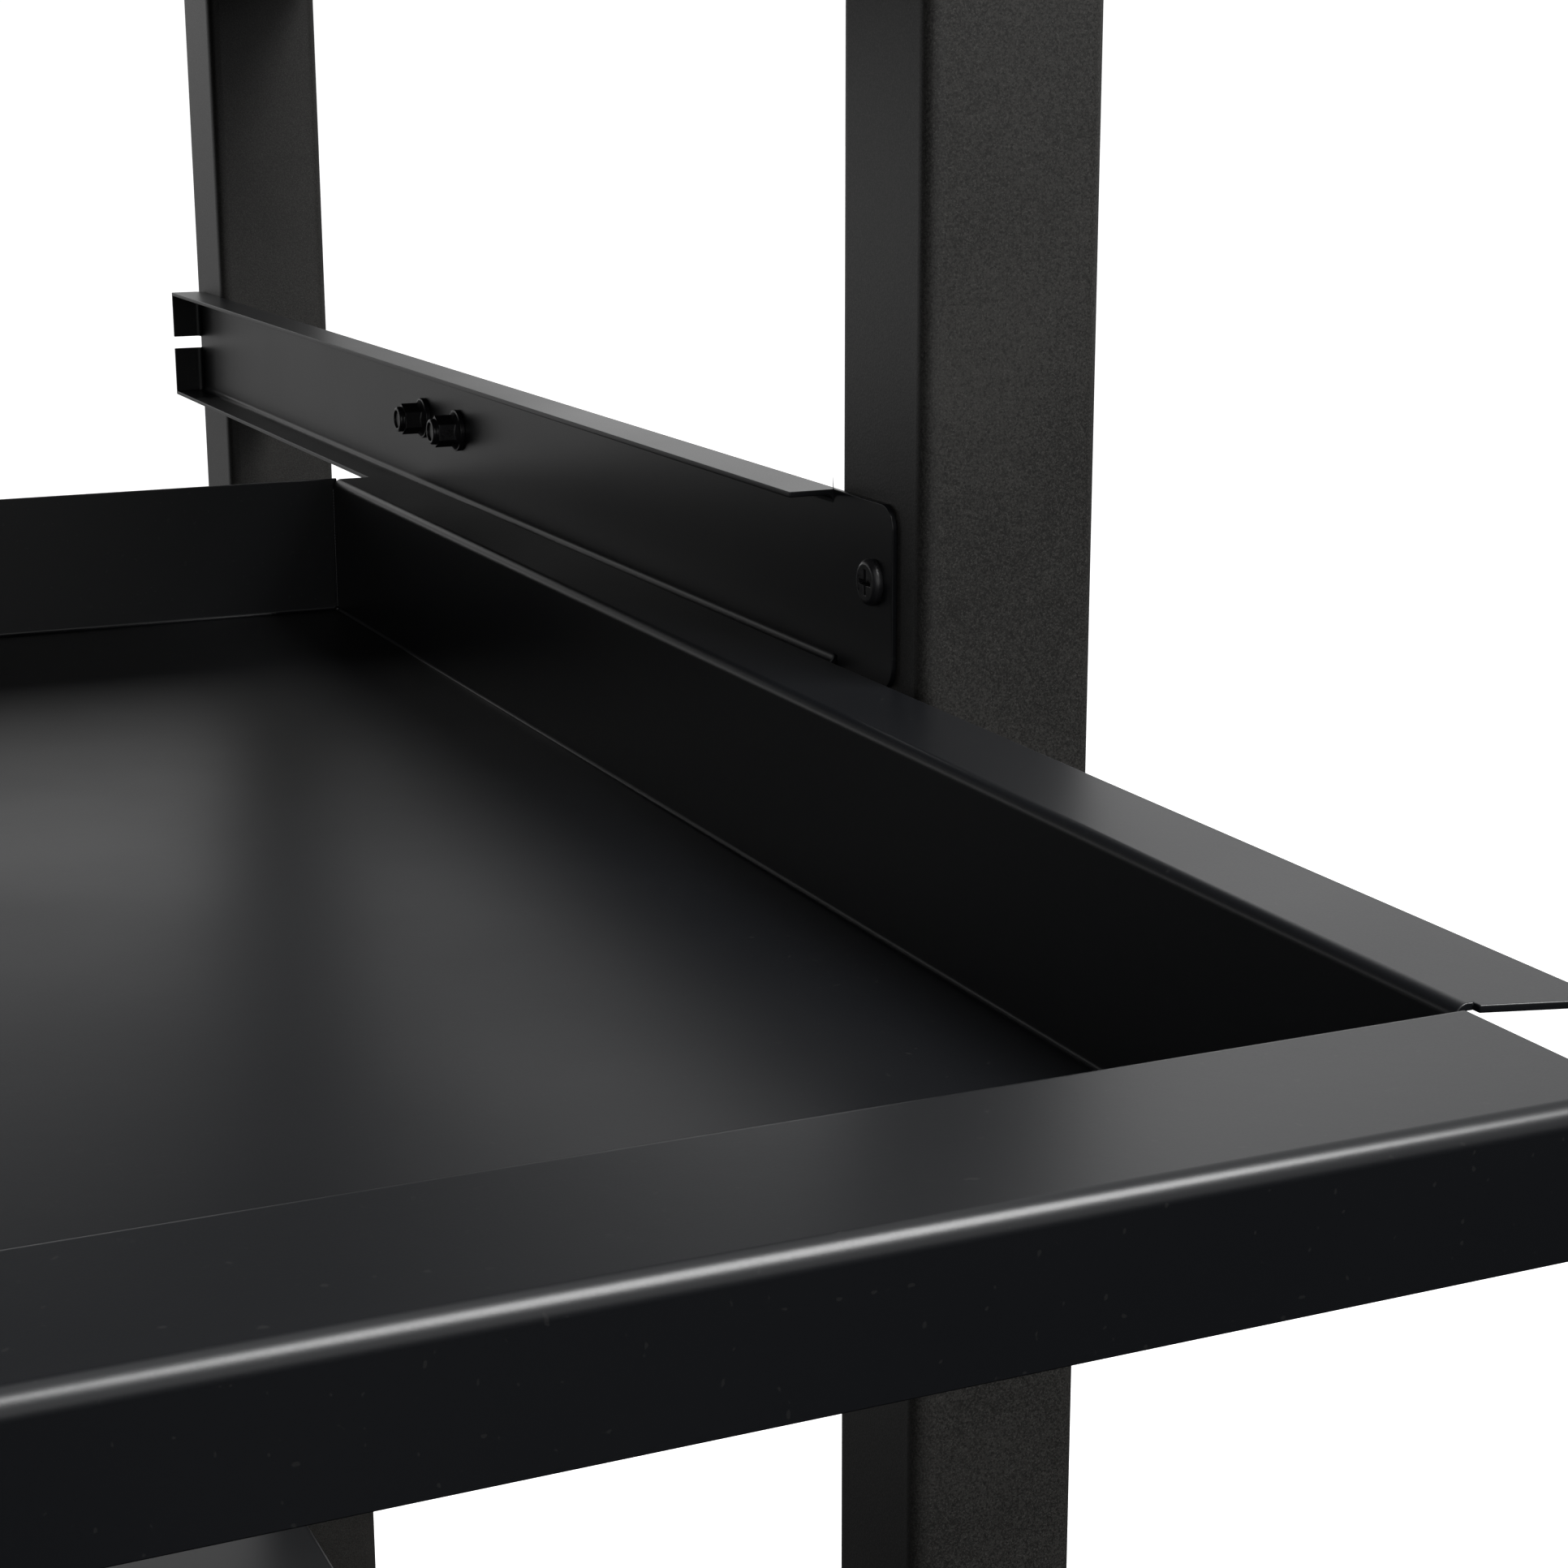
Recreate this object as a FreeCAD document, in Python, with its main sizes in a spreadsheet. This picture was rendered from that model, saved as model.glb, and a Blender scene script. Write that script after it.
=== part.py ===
"""Steel computer desk with a sliding keyboard tray and a lower shelf.

Millimetres, +Z up, +X to the user's right, -Y towards the user.  Every piece is drawn in
desk coordinates: X from the middle of the desk, Y from the front face of the front legs,
Z from the level that place() gives it.  place() then moves it to the model's origin, which
is on the floor under the middle of the whole desk with the tray pulled out.
"""
import FreeCAD, Part
import os
import re
import Sketcher
from FreeCAD import Placement, Rotation, Vector

doc = FreeCAD.newDocument("computer_desk")

# ---------------------------------------------------------------- driving dimensions
DIMENSIONS = [
    ("leg_width", 40, "square tube, outside"),
    ("tube_wall", 1.5, "wall of every square tube"),
    ("tube_corner", 4, "outside corner radius of the tubes"),
    ("leg_gap", 814, "between the inner faces of the left and right legs"),
    ("frame_depth", 612, "front face of the front legs to rear face of the rear legs"),
    ("frame_top", 828, "top of the legs and top rails"),
    ("foot_flange", 5, "thickness of the foot cap under each leg"),
    ("foot_plug_height", 22, "part of the foot cap inside the leg"),
    ("fit_gap", 0.1, "clearance between a fastener and its hole, or a plug and its tube"),
    ("side_rail_width", 20, "side rail behind each runner"),
    ("side_rail_height", 30, "side rail behind each runner"),
    ("board_thickness", 22, "desktop board"),
    ("board_overhang", 12, "desktop beyond the legs, all round"),
    ("band_thickness", 2, "edge band round the desktop board"),
    ("board_easing", 1.5, "rounded edge of the edge band"),
    ("sheet", 1.2, "folded sheet steel"),
    ("bend_inside", 1.0, "inside bend radius of the tray and shelf"),
    ("bend_outside", 2.2, "outside bend radius of the tray and shelf"),
    ("tray_level", 635, "top of the tray's flanges above the floor"),
    ("tray_out", 246.5, "front of the tray in front of the legs"),
    ("tray_inset", 25, "tray side wall inside the leg's inner face"),
    ("tray_depth", 550, "inside of the pan, front to rear"),
    ("tray_height", 40, "pan floor to flange top"),
    ("tray_front_flange", 38, "front wall to the face of the lip"),
    ("tray_lip_height", 20.5, "lip, from the flange top down"),
    ("lip_bend", 3.0, "outside bend radius of the lip"),
    ("flange_clearance", 4.5, "side flange to the leg's inner face"),
    ("flange_slant", 6, "how far the flange's outer front corner leads its inner one"),
    ("flange_rear_notch", 1, "side flange stops this far before the rear wall"),
    ("corner_relief", 3, "depth of the relief cuts at the pan's top corners"),
    ("runner_height", 38.4, "runner channel"),
    ("runner_flange", 11.5, "runner flanges, from the leg's face"),
    ("runner_bend", 1.8, "inside bend radius of the runner"),
    ("runner_gap", 0.2, "running clearance under the tray's flange"),
    ("runner_front", 39.5, "front end of the runner's flanges"),
    ("runner_tab_front", 11.8, "front end of the runner's screw tab"),
    ("runner_tab_corner", 5, "corner radius of the screw tab"),
    ("runner_rear", 604, "rear end of the runner"),
    ("runner_relief", 1.8, "bend relief at the front end of the lower flange"),
    ("slot_height", 4.4, "slot through the runner's rear end"),
    ("slot_level", 19.6, "middle of the slot above the runner's underside"),
    ("slot_end", 600.9, "round end of the slot"),
    ("hardware_level", 21.7, "runner screws and bolts above the runner's underside"),
    ("runner_screw_depth", 20.5, "runner screw behind the leg's front face"),
    ("runner_bolt_middle", 307.4, "middle of the pair of runner bolts"),
    ("runner_bolt_spacing", 32, "between the two runner bolts"),
    ("screw_shank", 5, "M5 shanks"),
    ("pan_head_width", 9.8, "M5 pan head"),
    ("pan_head_height", 2.0, "low M5 pan head"),
    ("pan_head_dome", 1.3, "rounded edge of the pan head"),
    ("recess_span", 5.4, "arms of the cross recess"),
    ("recess_arm", 1.1, "width of one arm"),
    ("recess_depth", 1.8, "depth of the cross recess"),
    ("insert_body_width", 7, "rivet nut, flush with the tube's face"),
    ("insert_length", 12, "rivet nut"),
    ("insert_bulge_width", 9.4, "collar that the rivet nut forms inside the tube"),
    ("insert_bulge_height", 2.4, "collar that the rivet nut forms inside the tube"),
    ("frame_screw_length", 14, "screws that go into rivet nuts"),
    ("nut_hex", 8, "M5 flange lock nut, across flats"),
    ("nut_flange_width", 11.8, "M5 flange lock nut"),
    ("nut_flange_height", 1.4, "M5 flange lock nut"),
    ("nut_cone_height", 1.3, "slope from the flange to the hexagon"),
    ("nut_hex_height", 7.2, "M5 flange lock nut"),
    ("nut_collar_width", 7.4, "round collar that holds the nylon ring"),
    ("nut_collar_height", 1.6, "round collar that holds the nylon ring"),
    ("bolt_projection", 8.2, "bolt end beyond the runner's web"),
    ("bolt_head_width", 9.8, "M5 button head on the side rail"),
    ("bolt_head_height", 3.2, "M5 button head on the side rail"),
    ("bolt_head_dome", 2.5, "M5 button head on the side rail"),
    ("bolt_socket", 3, "hexagon socket of the button head, across flats"),
    ("shelf_level", 192, "top face of the lower shelf"),
    ("shelf_flange", 30, "turned-down edges of the lower shelf"),
    ("bracket_leg", 25, "each leg of a desktop bracket"),
    ("bracket_width", 22, "desktop bracket"),
    ("bracket_sheet", 2, "desktop bracket"),
    ("bracket_spread", 310, "outer desktop brackets from the middle"),
    ("wood_screw_shank", 4, "screws into the board"),
    ("wood_screw_length", 15, "screws into the board, under the head"),
    ("rail_screw_length", 10, "screws into the top rails, under the head"),
    ("small_head_width", 8, "pan head of the bracket screws"),
    ("small_head_height", 2.6, "pan head of the bracket screws"),
    ("small_head_dome", 1.4, "rounded edge of the bracket screws' heads"),
]

sizes = doc.addObject("Spreadsheet::Sheet", "Sizes")
for row, (alias, amount, meaning) in enumerate(DIMENSIONS, start=1):
    sizes.set(f"A{row}", meaning)
    sizes.set(f"B{row}", str(amount))
    sizes.setAlias(f"B{row}", alias)
doc.recompute()


ALIASES = {alias for alias, _, _ in DIMENSIONS}


def bound(text):
    """An expression in plain aliases, with each alias turned into a reference to the sheet."""
    return re.sub(r"[a-z_]+", lambda word: f"Sizes.{word[0]}" if word[0] in ALIASES else word[0], text)


def value(text):
    """The number that an expression gives now."""
    return float(sizes.evalExpression(text))


# Expressions that several pieces share.
HALF_GAP = "leg_gap / 2"
HALF_OUTSIDE = "( leg_gap / 2 + leg_width )"
REAR_LEG = "( frame_depth - leg_width )"
ORIGIN_DEPTH = "( frame_depth + board_overhang - tray_out ) / 2"
RUNNER_LEVEL = "( tray_level - 2 * sheet - runner_gap )"
TRAY_HALF = "( leg_gap / 2 - tray_inset )"
TRAY_SIDE_OUT = "( leg_gap / 2 - tray_inset + sheet )"
FLANGE_EDGE = "( leg_gap / 2 - flange_clearance )"
LONG_EDGE = "tray_depth / 2"
RIGHT = 1
LEFT = -1


def across(side, near, far):
    """A low and high X on the right side of the desk, or its mirror image on the left."""
    if side == RIGHT:
        return near, far
    return f"-1 * ( {far} )", f"-1 * ( {near} )"


def side_x(side, distance):
    """One X on the right side of the desk, or its mirror image on the left."""
    return distance if side == RIGHT else f"-1 * ( {distance} )"


# ---------------------------------------------------------------- PartDesign helpers
pieces = []


def place(piece, level="0", x="0", y="0"):
    """Put a finished piece where it belongs in the model, and list it for export."""
    piece.setExpression("Placement.Base.x", bound(x))
    piece.setExpression("Placement.Base.y", bound(f"{y} - {ORIGIN_DEPTH}"))
    piece.setExpression("Placement.Base.z", bound(level))
    piece.Label = piece.Name
    pieces.append(piece)
    return piece


def new_body(name):
    """An empty PartDesign body."""
    return doc.addObject("PartDesign::Body", name)


def new_sketch(body, name, role, offset):
    """A sketch on one of the body's own origin planes, moved along that plane's normal."""
    sketch = body.newObject("Sketcher::SketchObject", name)
    plane = [feature for feature in body.Origin.OriginFeatures if feature.Role == role][0]
    sketch.AttachmentSupport = [(plane, "")]
    sketch.MapMode = "FlatFace"
    sketch.setExpression("AttachmentOffset.Base.z", bound(offset))
    return sketch


def pin_point(sketch, geometry, end, across_text, up_text):
    """Fix one point of a sketch at a pair of expressions."""
    for kind, text in (("DistanceX", across_text), ("DistanceY", up_text)):
        index = sketch.addConstraint(
            Sketcher.Constraint(kind, -1, 1, geometry, end, value(text)))
        sketch.setExpression(f"Constraints[{index}]", bound(text))


def draw_outline(sketch, corners):
    """A closed outline of straight sides through a list of (across, up) expressions."""
    points = [Vector(value(across_text), value(up_text), 0) for across_text, up_text in corners]
    for number, start in enumerate(points):
        finish = points[(number + 1) % len(points)]
        sketch.addGeometry(Part.LineSegment(start, finish), False)
    for number in range(len(points)):
        following = (number + 1) % len(points)
        sketch.addConstraint(Sketcher.Constraint("Coincident", number, 2, following, 1))
    for number, (across_text, up_text) in enumerate(corners):
        pin_point(sketch, number, 1, across_text, up_text)


def draw_circles(sketch, centres, width):
    """Circles of one bound diameter at a list of (across, up) expressions."""
    for number, (across_text, up_text) in enumerate(centres):
        centre = Vector(value(across_text), value(up_text), 0)
        sketch.addGeometry(Part.Circle(centre, Vector(0, 0, 1), value(width) / 2), False)
        pin_point(sketch, number, 3, across_text, up_text)
        index = sketch.addConstraint(Sketcher.Constraint("Diameter", number, value(width)))
        sketch.setExpression(f"Constraints[{index}]", bound(width))


def rectangle(xs, ys):
    """The four corners between two (low, high) pairs."""
    return [(xs[0], ys[0]), (xs[1], ys[0]), (xs[1], ys[1]), (xs[0], ys[1])]


def add_plate(body, name, corners, low, high):
    """Add an upright prism with this outline between two levels."""
    sketch = new_sketch(body, f"{name}_sketch", "XY_Plane", low)
    draw_outline(sketch, corners)
    pad = body.newObject("PartDesign::Pad", name)
    pad.Profile = sketch
    pad.Refine = True
    pad.setExpression("Length", bound(f"{high} - ( {low} )"))
    doc.recompute()
    return pad


def finish_cut(body, name, sketch, length, before):
    """Make a pocket from a sketch and check that it removed material."""
    pocket = body.newObject("PartDesign::Pocket", name)
    pocket.Profile = sketch
    pocket.Refine = True
    pocket.setExpression("Length", bound(length))
    doc.recompute()
    if not body.Shape.Volume < before - 0.01:
        raise RuntimeError(f"{body.Name} {name} cuts nothing")
    return pocket


def cut_plate(body, name, corners, low, high):
    """Cut an upright prism with this outline between two levels."""
    before = body.Shape.Volume
    sketch = new_sketch(body, f"{name}_sketch", "XY_Plane", high)
    draw_outline(sketch, corners)
    return finish_cut(body, name, sketch, f"{high} - ( {low} )", before)


def cut_across(body, name, corners, low, high):
    """Cut a prism that runs along X between two X positions; corners are (y, z)."""
    before = body.Shape.Volume
    sketch = new_sketch(body, f"{name}_sketch", "YZ_Plane", high)
    draw_outline(sketch, corners)
    return finish_cut(body, name, sketch, f"{high} - ( {low} )", before)


def drill_across(body, name, centres, width, low, high):
    """Round holes along X between two X positions; centres are (y, z)."""
    before = body.Shape.Volume
    sketch = new_sketch(body, f"{name}_sketch", "YZ_Plane", high)
    draw_circles(sketch, centres, width)
    return finish_cut(body, name, sketch, f"{high} - ( {low} )", before)


def drill_back(body, name, centres, width, front, rear):
    """Round holes along Y between two Y positions; centres are (x, z)."""
    before = body.Shape.Volume
    sketch = new_sketch(body, f"{name}_sketch", "XZ_Plane", f"-1 * ( {front} )")
    draw_circles(sketch, centres, width)
    return finish_cut(body, name, sketch, f"{rear} - ( {front} )", before)


def drill_down(body, name, centres, width, low, high):
    """Round upright holes between two levels; centres are (x, y)."""
    before = body.Shape.Volume
    sketch = new_sketch(body, f"{name}_sketch", "XY_Plane", high)
    draw_circles(sketch, centres, width)
    return finish_cut(body, name, sketch, f"{high} - ( {low} )", before)


def edges_on(shape, shortest, **planes):
    """Names of the straight edges of some length whose ends lie on the given x, y or z values."""
    names = []
    for number, edge in enumerate(shape.Edges, start=1):
        ends = [vertex.Point for vertex in edge.Vertexes]
        level = [abs(getattr(end, axis) - place_at) < 0.01
                 for end in ends for axis, place_at in planes.items()]
        straight = len(ends) == 2 and edge.Curve.TypeId == "Part::GeomLine"
        if straight and all(level) and edge.Length >= shortest:
            names.append(f"Edge{number}")
    return names


def round_off(body, name, radius, *choices, shortest="0"):
    """Round the edges that each choice of planes names; values are expressions."""
    base = body.Tip
    names = []
    for choice in choices:
        planes = {axis: value(text) for axis, text in choice.items()}
        found = edges_on(base.Shape, value(shortest), **planes)
        if not found:
            raise RuntimeError(f"{body.Name} {name} finds no edge at {choice}")
        names += found
    fillet = body.newObject("PartDesign::Fillet", name)
    fillet.Base = (base, sorted(set(names)))
    fillet.setExpression("Radius", bound(radius))
    doc.recompute()
    if not fillet.isValid():
        raise RuntimeError(f"{body.Name} {name} can't be rounded")
    return fillet


def corner_choices(first_axis, firsts, second_axis, seconds):
    """All combinations of two pairs of planes, for the four long edges of a tube."""
    return [{first_axis: first, second_axis: second} for first in firsts for second in seconds]


def hollow_tube(body, axis, xs, ys, zs):
    """A square or oblong tube along one axis, open at both ends, with rounded corners."""
    spans = {"x": xs, "y": ys, "z": zs}
    walls = {}
    for letter, (low, high) in spans.items():
        walls[letter] = (low, high) if letter == axis else (f"{low} + tube_wall", f"{high} - tube_wall")
    add_plate(body, "outside", rectangle(xs, ys), *zs)
    cut_plate(body, "bore", rectangle(walls["x"], walls["y"]), *walls["z"])
    first, second = [letter for letter in "xyz" if letter != axis]
    round_off(body, "outer_corners", "tube_corner",
              *corner_choices(first, spans[first], second, spans[second]))
    round_off(body, "inner_corners", "tube_corner - tube_wall",
              *corner_choices(first, walls[first], second, walls[second]))


# ---------------------------------------------------------------- the frame
def make_leg(name, side, front):
    """A leg: square tube, drilled for its shelf insert and, at the front, its runner insert."""
    leg = new_body(name)
    xs = across(side, HALF_GAP, HALF_OUTSIDE)
    rear = f"{front} + leg_width"
    hollow_tube(leg, "z", xs, (front, rear), ("foot_flange", "frame_top"))
    wall = across(side, HALF_GAP, f"{HALF_GAP} + tube_wall")
    centres = [(f"{front} + leg_width / 2", "shelf_level - shelf_flange / 2")]
    if front == "0":
        centres.append(("runner_screw_depth", f"{RUNNER_LEVEL} + hardware_level"))
    drill_across(leg, "insert_holes", centres, "insert_body_width + 2 * fit_gap", *wall)
    place(leg)


def make_foot_cap(name, side, front):
    """A plastic cap: a pad under the leg with a hollow plug that fits inside the tube."""
    cap = new_body(name)
    xs = across(side, HALF_GAP, HALF_OUTSIDE)
    ys = (front, f"{front} + leg_width")
    clear = "tube_wall + fit_gap"
    plug_x = (f"{xs[0]} + {clear}", f"{xs[1]} - ( {clear} )")
    plug_y = (f"{ys[0]} + {clear}", f"{ys[1]} - ( {clear} )")
    plug_top = "foot_flange + foot_plug_height"
    add_plate(cap, "pad", rectangle(xs, ys), "0", "foot_flange")
    add_plate(cap, "plug", rectangle(plug_x, plug_y), "foot_flange", plug_top)
    plug_wall = "2 * tube_wall"
    hollow_x = (f"{plug_x[0]} + {plug_wall}", f"{plug_x[1]} - {plug_wall}")
    hollow_y = (f"{plug_y[0]} + {plug_wall}", f"{plug_y[1]} - {plug_wall}")
    cut_plate(cap, "hollow", rectangle(hollow_x, hollow_y), "foot_flange", plug_top)
    round_off(cap, "pad_corners", "tube_corner", *corner_choices("x", xs, "y", ys))
    round_off(cap, "plug_corners", "tube_corner - tube_wall", *corner_choices("x", plug_x, "y", plug_y))
    place(cap)


for side, side_name in ((LEFT, "left"), (RIGHT, "right")):
    for end_name, front in (("front", "0"), ("rear", REAR_LEG)):
        make_leg(f"leg_{end_name}_{side_name}", side, front)
        make_foot_cap(f"foot_cap_{end_name}_{side_name}", side, front)

TOP_RAIL_ZS = ("frame_top - leg_width", "frame_top")
BRACKET_X = ("-1 * bracket_spread", "0", "bracket_spread")
RAIL_HOLE_LEVEL = "frame_top - bracket_sheet - ( bracket_leg - bracket_sheet ) / 2"

for end_name, front, inner in (("front", "0", "leg_width"), ("rear", REAR_LEG, REAR_LEG)):
    rail = new_body(f"top_rail_{end_name}")
    hollow_tube(rail, "x", (f"-1 * {HALF_GAP}", HALF_GAP), (front, f"{front} + leg_width"), TOP_RAIL_ZS)
    wall = ("leg_width - tube_wall", "leg_width") if front == "0" else (REAR_LEG, f"{REAR_LEG} + tube_wall")
    drill_back(rail, "bracket_holes", [(x, RAIL_HOLE_LEVEL) for x in BRACKET_X],
               "wood_screw_shank + 2 * fit_gap", *wall)
    place(rail)

SIDE_RAIL_ZS = (RUNNER_LEVEL, f"{RUNNER_LEVEL} + side_rail_height")
BOLT_YS = ("runner_bolt_middle - runner_bolt_spacing / 2", "runner_bolt_middle + runner_bolt_spacing / 2")
BOLT_CENTRES = [(y, f"{RUNNER_LEVEL} + hardware_level") for y in BOLT_YS]

for side, side_name in ((LEFT, "left"), (RIGHT, "right")):
    top_rail = new_body(f"top_rail_{side_name}")
    hollow_tube(top_rail, "y", across(side, HALF_GAP, HALF_OUTSIDE), ("leg_width", REAR_LEG), TOP_RAIL_ZS)
    place(top_rail)
    side_rail = new_body(f"side_rail_{side_name}")
    rail_xs = across(side, HALF_GAP, f"{HALF_GAP} + side_rail_width")
    hollow_tube(side_rail, "y", rail_xs, ("leg_width", REAR_LEG), SIDE_RAIL_ZS)
    drill_across(side_rail, "bolt_holes", BOLT_CENTRES, "screw_shank + 2 * fit_gap", *rail_xs)
    place(side_rail)


# ---------------------------------------------------------------- the tray's runners
def make_runner(name, side):
    """A channel that opens inwards, with a screw tab in front and slotted end tabs behind."""
    runner = new_body(name)
    web = across(side, f"{HALF_GAP} - sheet", HALF_GAP)
    whole = across(side, f"{HALF_GAP} - runner_flange", HALF_GAP)
    open_part = across(side, f"{HALF_GAP} - runner_flange", f"{HALF_GAP} - sheet")
    top = "runner_height"
    add_plate(runner, "blank", rectangle(whole, ("runner_tab_front", "runner_rear")), "0", top)
    cut_plate(runner, "channel", rectangle(open_part, ("runner_tab_front", "runner_rear - sheet")),
              "sheet", f"{top} - sheet")
    cut_plate(runner, "tab_clearance", rectangle(open_part, ("runner_tab_front", "runner_front")), "0", top)
    outer_x = side_x(side, HALF_GAP)
    inner_x = side_x(side, f"{HALF_GAP} - sheet")
    round_off(runner, "inside_bends", "runner_bend",
              {"x": inner_x, "z": "sheet"}, {"x": inner_x, "z": f"{top} - sheet"},
              {"x": inner_x, "y": "runner_rear - sheet"})
    relief = rectangle(whole, ("runner_front - runner_relief", "runner_front"))
    cut_plate(runner, "lower_relief", relief, "0", "runner_bend + sheet")
    round_off(runner, "outside_bends", "runner_bend + sheet", {"x": outer_x, "y": "runner_rear"})
    round_off(runner, "tab_corners", "runner_tab_corner",
              {"y": "runner_tab_front", "z": "0"}, {"y": "runner_tab_front", "z": top})
    slot_low = "slot_level - slot_height / 2"
    slot_high = "slot_level + slot_height / 2"
    slot_front = "slot_end + slot_height / 2"
    cut_across(runner, "end_slot", rectangle((slot_front, "runner_rear"), (slot_low, slot_high)), *whole)
    drill_across(runner, "slot_round_end", [(slot_front, "slot_level")], "slot_height", *whole)
    centres = [(y, "hardware_level") for y in BOLT_YS] + [("runner_screw_depth", "hardware_level")]
    drill_across(runner, "fastener_holes", centres, "screw_shank + 2 * fit_gap", *web)
    place(runner, RUNNER_LEVEL)


make_runner("runner_left", LEFT)
make_runner("runner_right", RIGHT)


# ---------------------------------------------------------------- the keyboard tray
def make_tray():
    """A folded pan: side flanges that ride in the runners and a front flange with a lip."""
    tray = new_body("keyboard_tray")
    rear = "tray_depth"
    floor = "-1 * tray_height"
    pan_y = ("-1 * sheet", f"{rear} + sheet")
    lip_y = "-1 * tray_front_flange"
    pan_x = (f"-1 * {TRAY_SIDE_OUT}", TRAY_SIDE_OUT)
    inside_x = (f"-1 * {TRAY_HALF}", TRAY_HALF)
    add_plate(tray, "pan", rectangle(pan_x, pan_y), f"{floor} - sheet", "0")
    add_plate(tray, "front_flange", rectangle(inside_x, (lip_y, "0")), "-1 * sheet", "0")
    add_plate(tray, "lip", rectangle(inside_x, (lip_y, f"{lip_y} + sheet")), "-1 * tray_lip_height", "0")
    for side, word in ((LEFT, "left"), (RIGHT, "right")):
        near = side_x(side, TRAY_HALF)
        edge = side_x(side, FLANGE_EDGE)
        flange_end = f"{rear} - flange_rear_notch"
        corners = [(near, "0"), (edge, "-1 * flange_slant"), (edge, flange_end), (near, flange_end)]
        add_plate(tray, f"{word}_flange", corners, "-1 * sheet", "0")
    cut_plate(tray, "inside", rectangle(inside_x, ("0", rear)), floor, "0")
    for side, word in ((LEFT, "left"), (RIGHT, "right")):
        relief_x = across(side, TRAY_HALF, f"{TRAY_HALF} + corner_relief")
        cut_plate(tray, f"{word}_front_relief", rectangle(relief_x, ("-1 * sheet", "sheet / 2")),
                  "-1 * corner_relief", "0")
        cut_plate(tray, f"{word}_rear_relief", rectangle(relief_x, (f"{rear} - flange_rear_notch", rear)),
                  "-1 * corner_relief", "0")
    round_off(tray, "lip_bend_outside", "lip_bend", {"y": lip_y, "z": "0"})
    round_off(tray, "lip_bend_inside", "lip_bend - sheet", {"y": f"{lip_y} + sheet", "z": "-1 * sheet"})
    for word, rim, under in (("front", {"y": "0"}, {"y": pan_y[0]}),
                             ("left", {"x": inside_x[0]}, {"x": pan_x[0]}),
                             ("right", {"x": inside_x[1]}, {"x": pan_x[1]})):
        round_off(tray, f"{word}_rim_bend", "bend_outside", {**rim, "z": "0"}, shortest=LONG_EDGE)
        round_off(tray, f"{word}_under_rim_bend", "bend_inside", {**under, "z": "-1 * sheet"},
                  shortest=LONG_EDGE)
    round_off(tray, "floor_bends_inside", "bend_inside", {"x": inside_x[0], "z": floor},
              {"x": inside_x[1], "z": floor}, {"y": "0", "z": floor}, {"y": rear, "z": floor})
    bottom = f"{floor} - sheet"
    round_off(tray, "floor_bends_outside", "bend_outside", {"x": pan_x[0], "z": bottom},
              {"x": pan_x[1], "z": bottom}, {"y": pan_y[0], "z": bottom}, {"y": pan_y[1], "z": bottom})
    place(tray, "tray_level", y="tray_front_flange - tray_out")


make_tray()


# ---------------------------------------------------------------- the lower shelf
def make_shelf():
    """A folded shelf between the legs, with turned-down edges that the shelf screws hold."""
    shelf = new_body("lower_shelf")
    xs = (f"-1 * {HALF_GAP}", HALF_GAP)
    ys = ("0", "frame_depth")
    inner_x = (f"{xs[0]} + sheet", f"{xs[1]} - sheet")
    inner_y = ("sheet", "frame_depth - sheet")
    bottom = "-1 * shelf_flange"
    add_plate(shelf, "blank", rectangle(xs, ys), bottom, "0")
    cut_plate(shelf, "underside", rectangle(inner_x, inner_y), bottom, "-1 * sheet")
    round_off(shelf, "bends_outside", "bend_outside", *[{"x": x, "z": "0"} for x in xs],
              *[{"y": y, "z": "0"} for y in ys])
    round_off(shelf, "bends_inside", "bend_inside", *[{"x": x, "z": "-1 * sheet"} for x in inner_x],
              *[{"y": y, "z": "-1 * sheet"} for y in inner_y])
    centres = [(y, "-1 * shelf_flange / 2") for y in ("leg_width / 2", "frame_depth - leg_width / 2")]
    for side, word in ((LEFT, "left"), (RIGHT, "right")):
        wall = across(side, f"{HALF_GAP} - sheet", HALF_GAP)
        drill_across(shelf, f"{word}_screw_holes", centres, "screw_shank + 2 * fit_gap", *wall)
    place(shelf, "shelf_level")


make_shelf()


# ---------------------------------------------------------------- the desktop
OUTER_X = f"( {HALF_OUTSIDE} + board_overhang )"
BAND_X = (f"-1 * {OUTER_X}", OUTER_X)
BAND_Y = ("-1 * board_overhang", "frame_depth + board_overhang")
BOARD_X = (f"{BAND_X[0]} + band_thickness", f"{BAND_X[1]} - band_thickness")
BOARD_Y = (f"{BAND_Y[0]} + band_thickness", f"{BAND_Y[1]} - band_thickness")
BRACKET_MIDDLE = "bracket_sheet + ( bracket_leg - bracket_sheet ) / 2"
BRACKET_YS = (f"leg_width + {BRACKET_MIDDLE}", f"{REAR_LEG} - ( {BRACKET_MIDDLE} )")

board = new_body("desktop_board")
add_plate(board, "blank", rectangle(BOARD_X, BOARD_Y), "0", "board_thickness")
drill_down(board, "pilot_holes", [(x, y) for x in BRACKET_X for y in BRACKET_YS],
           "wood_screw_shank + 2 * fit_gap", "0", "wood_screw_length")
place(board, "frame_top")

band = new_body("desktop_edge_band")
add_plate(band, "blank", rectangle(BAND_X, BAND_Y), "0", "board_thickness")
cut_plate(band, "board_space", rectangle(BOARD_X, BOARD_Y), "0", "board_thickness")
round_off(band, "corners", "3 * band_thickness", *corner_choices("x", BAND_X, "y", BAND_Y))
EASED = [{"z": z, axis: plane} for z in ("0", "board_thickness")
         for axis, plane in (("x", BAND_X[0]), ("x", BAND_X[1]), ("y", BAND_Y[0]), ("y", BAND_Y[1]))]
round_off(band, "easing", "board_easing", *EASED)
place(band, "frame_top")


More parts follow.
